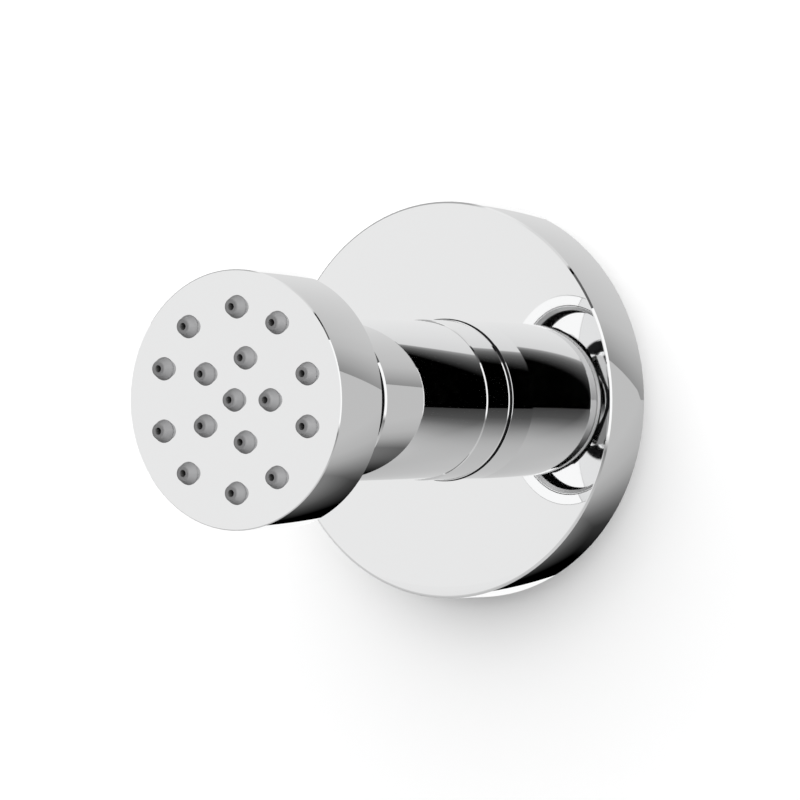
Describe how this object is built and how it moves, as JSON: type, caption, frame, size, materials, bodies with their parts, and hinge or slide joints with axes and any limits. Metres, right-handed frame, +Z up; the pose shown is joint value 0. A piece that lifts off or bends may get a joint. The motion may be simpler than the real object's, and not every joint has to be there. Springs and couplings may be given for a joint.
{
  "type": "shower body jet",
  "caption": "Wall-mounted shower body jet: a round flange and a short tube carry a flat round spray head with soft nozzles that swivels on a ball joint.",
  "frame": {"origin": "on the wall plane, on the axis of the inlet thread", "axes": "+Y into the wall along the inlet, -Y the way the water leaves, +Z up"},
  "size_m": [0.062, 0.0784, 0.062],
  "materials": {
    "polished_chrome": "polished",
    "nozzle_silicone": "satin",
    "seal_rubber": "matte",
    "bearing_plastic": "satin",
    "regulator_plastic": "satin",
    "strainer_plastic": "satin",
    "bare_brass": "satin"
  },
  "bodies": {
    "base": {"wall_flange": "polished_chrome", "wall_gasket": "seal_rubber", "flange_oring": "seal_rubber", "inlet_body": "polished_chrome", "collar_ring": "seal_rubber", "flow_regulator": "regulator_plastic", "regulator_ring": "seal_rubber", "strainer": "strainer_plastic", "body_oring": "seal_rubber", "seat_oring": "seal_rubber", "collar_sleeve": "polished_chrome", "wiper_ring": "seal_rubber"},
    "swivel_seat": {"rear_seat": "bearing_plastic", "front_bearing": "bearing_plastic"},
    "spray_head": {"ball_stem": "polished_chrome", "back_cover": "polished_chrome", "stem_oring": "seal_rubber", "cover_oring": "seal_rubber", "stem_nut": "bare_brass", "spray_plate": "bearing_plastic", "nozzle_mat": "nozzle_silicone", "head_shell": "polished_chrome"}
  },
  "joints": [
    {"name": "head_turn", "type": "hinge", "parent": "base", "child": "swivel_seat", "pos_m": [0, -0.03638, 0], "axis": [0, 1, 0], "continuous": true},
    {"name": "head_tilt", "type": "hinge", "parent": "swivel_seat", "child": "spray_head", "pos_m": [0, -0.03638, 0], "axis": [1, 0, 0], "range_deg": [-15, 15]}
  ]
}
